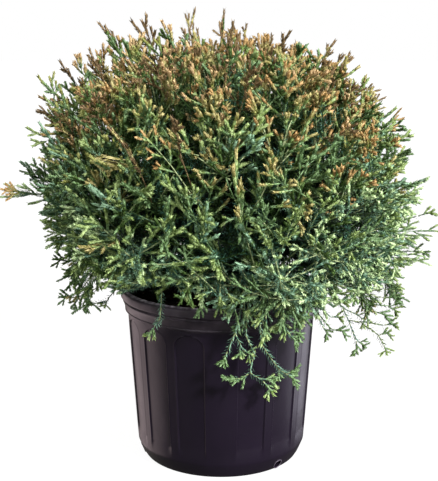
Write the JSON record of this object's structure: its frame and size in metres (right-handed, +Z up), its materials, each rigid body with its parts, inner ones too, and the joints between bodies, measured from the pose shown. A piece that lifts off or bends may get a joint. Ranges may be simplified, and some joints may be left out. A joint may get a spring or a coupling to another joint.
{
  "type": "potted dwarf globe arborvitae",
  "caption": "Rounded evergreen conifer shrub with cord-like green foliage and rust-orange tips, standing in a round black nursery pot.",
  "frame": {"origin": "centre of the pot's flat underside, on the surface that the pot stands on", "axes": "+Z up along the pot's axis, -Y towards the front that the picture shows, +X to its right"},
  "size_m": [0.5888, 0.5261, 0.619],
  "materials": {
    "pot_plastic": "satin black blow-moulded nursery-pot plastic",
    "potting_mix": "damp bark-based potting mix",
    "bark": "fibrous red-brown bark",
    "foliage": "cord-like scale foliage, green with rust-orange tips"
  },
  "bodies": {
    "root": {"pot": "pot_plastic", "potting_mix": "potting_mix", "trunk": "bark", "bough_01": "bark", "bough_02": "bark", "bough_03": "bark", "bough_04": "bark", "bough_05": "bark", "bough_06": "bark", "bough_07": "bark", "bough_08": "bark", "bough_09": "bark", "bough_10": "bark", "bough_11": "bark", "bough_12": "bark", "bough_13": "bark", "bough_14": "bark", "bough_15": "bark", "bough_16": "bark", "bough_17": "bark", "bough_18": "bark", "bough_19": "bark", "bough_20": "bark", "bough_21": "bark", "bough_22": "bark", "bough_23": "bark", "foliage_01": "foliage", "foliage_02": "foliage", "foliage_03": "foliage", "foliage_04": "foliage", "foliage_05": "foliage", "foliage_06": "foliage", "foliage_07": "foliage", "foliage_08": "foliage", "foliage_09": "foliage", "foliage_10": "foliage", "foliage_11": "foliage", "foliage_12": "foliage", "foliage_13": "foliage", "foliage_14": "foliage", "foliage_15": "foliage", "foliage_16": "foliage", "foliage_17": "foliage", "foliage_18": "foliage", "foliage_19": "foliage", "foliage_20": "foliage", "foliage_21": "foliage", "foliage_22": "foliage", "foliage_23": "foliage", "foliage_24": "foliage"}
  },
  "joints": []
}
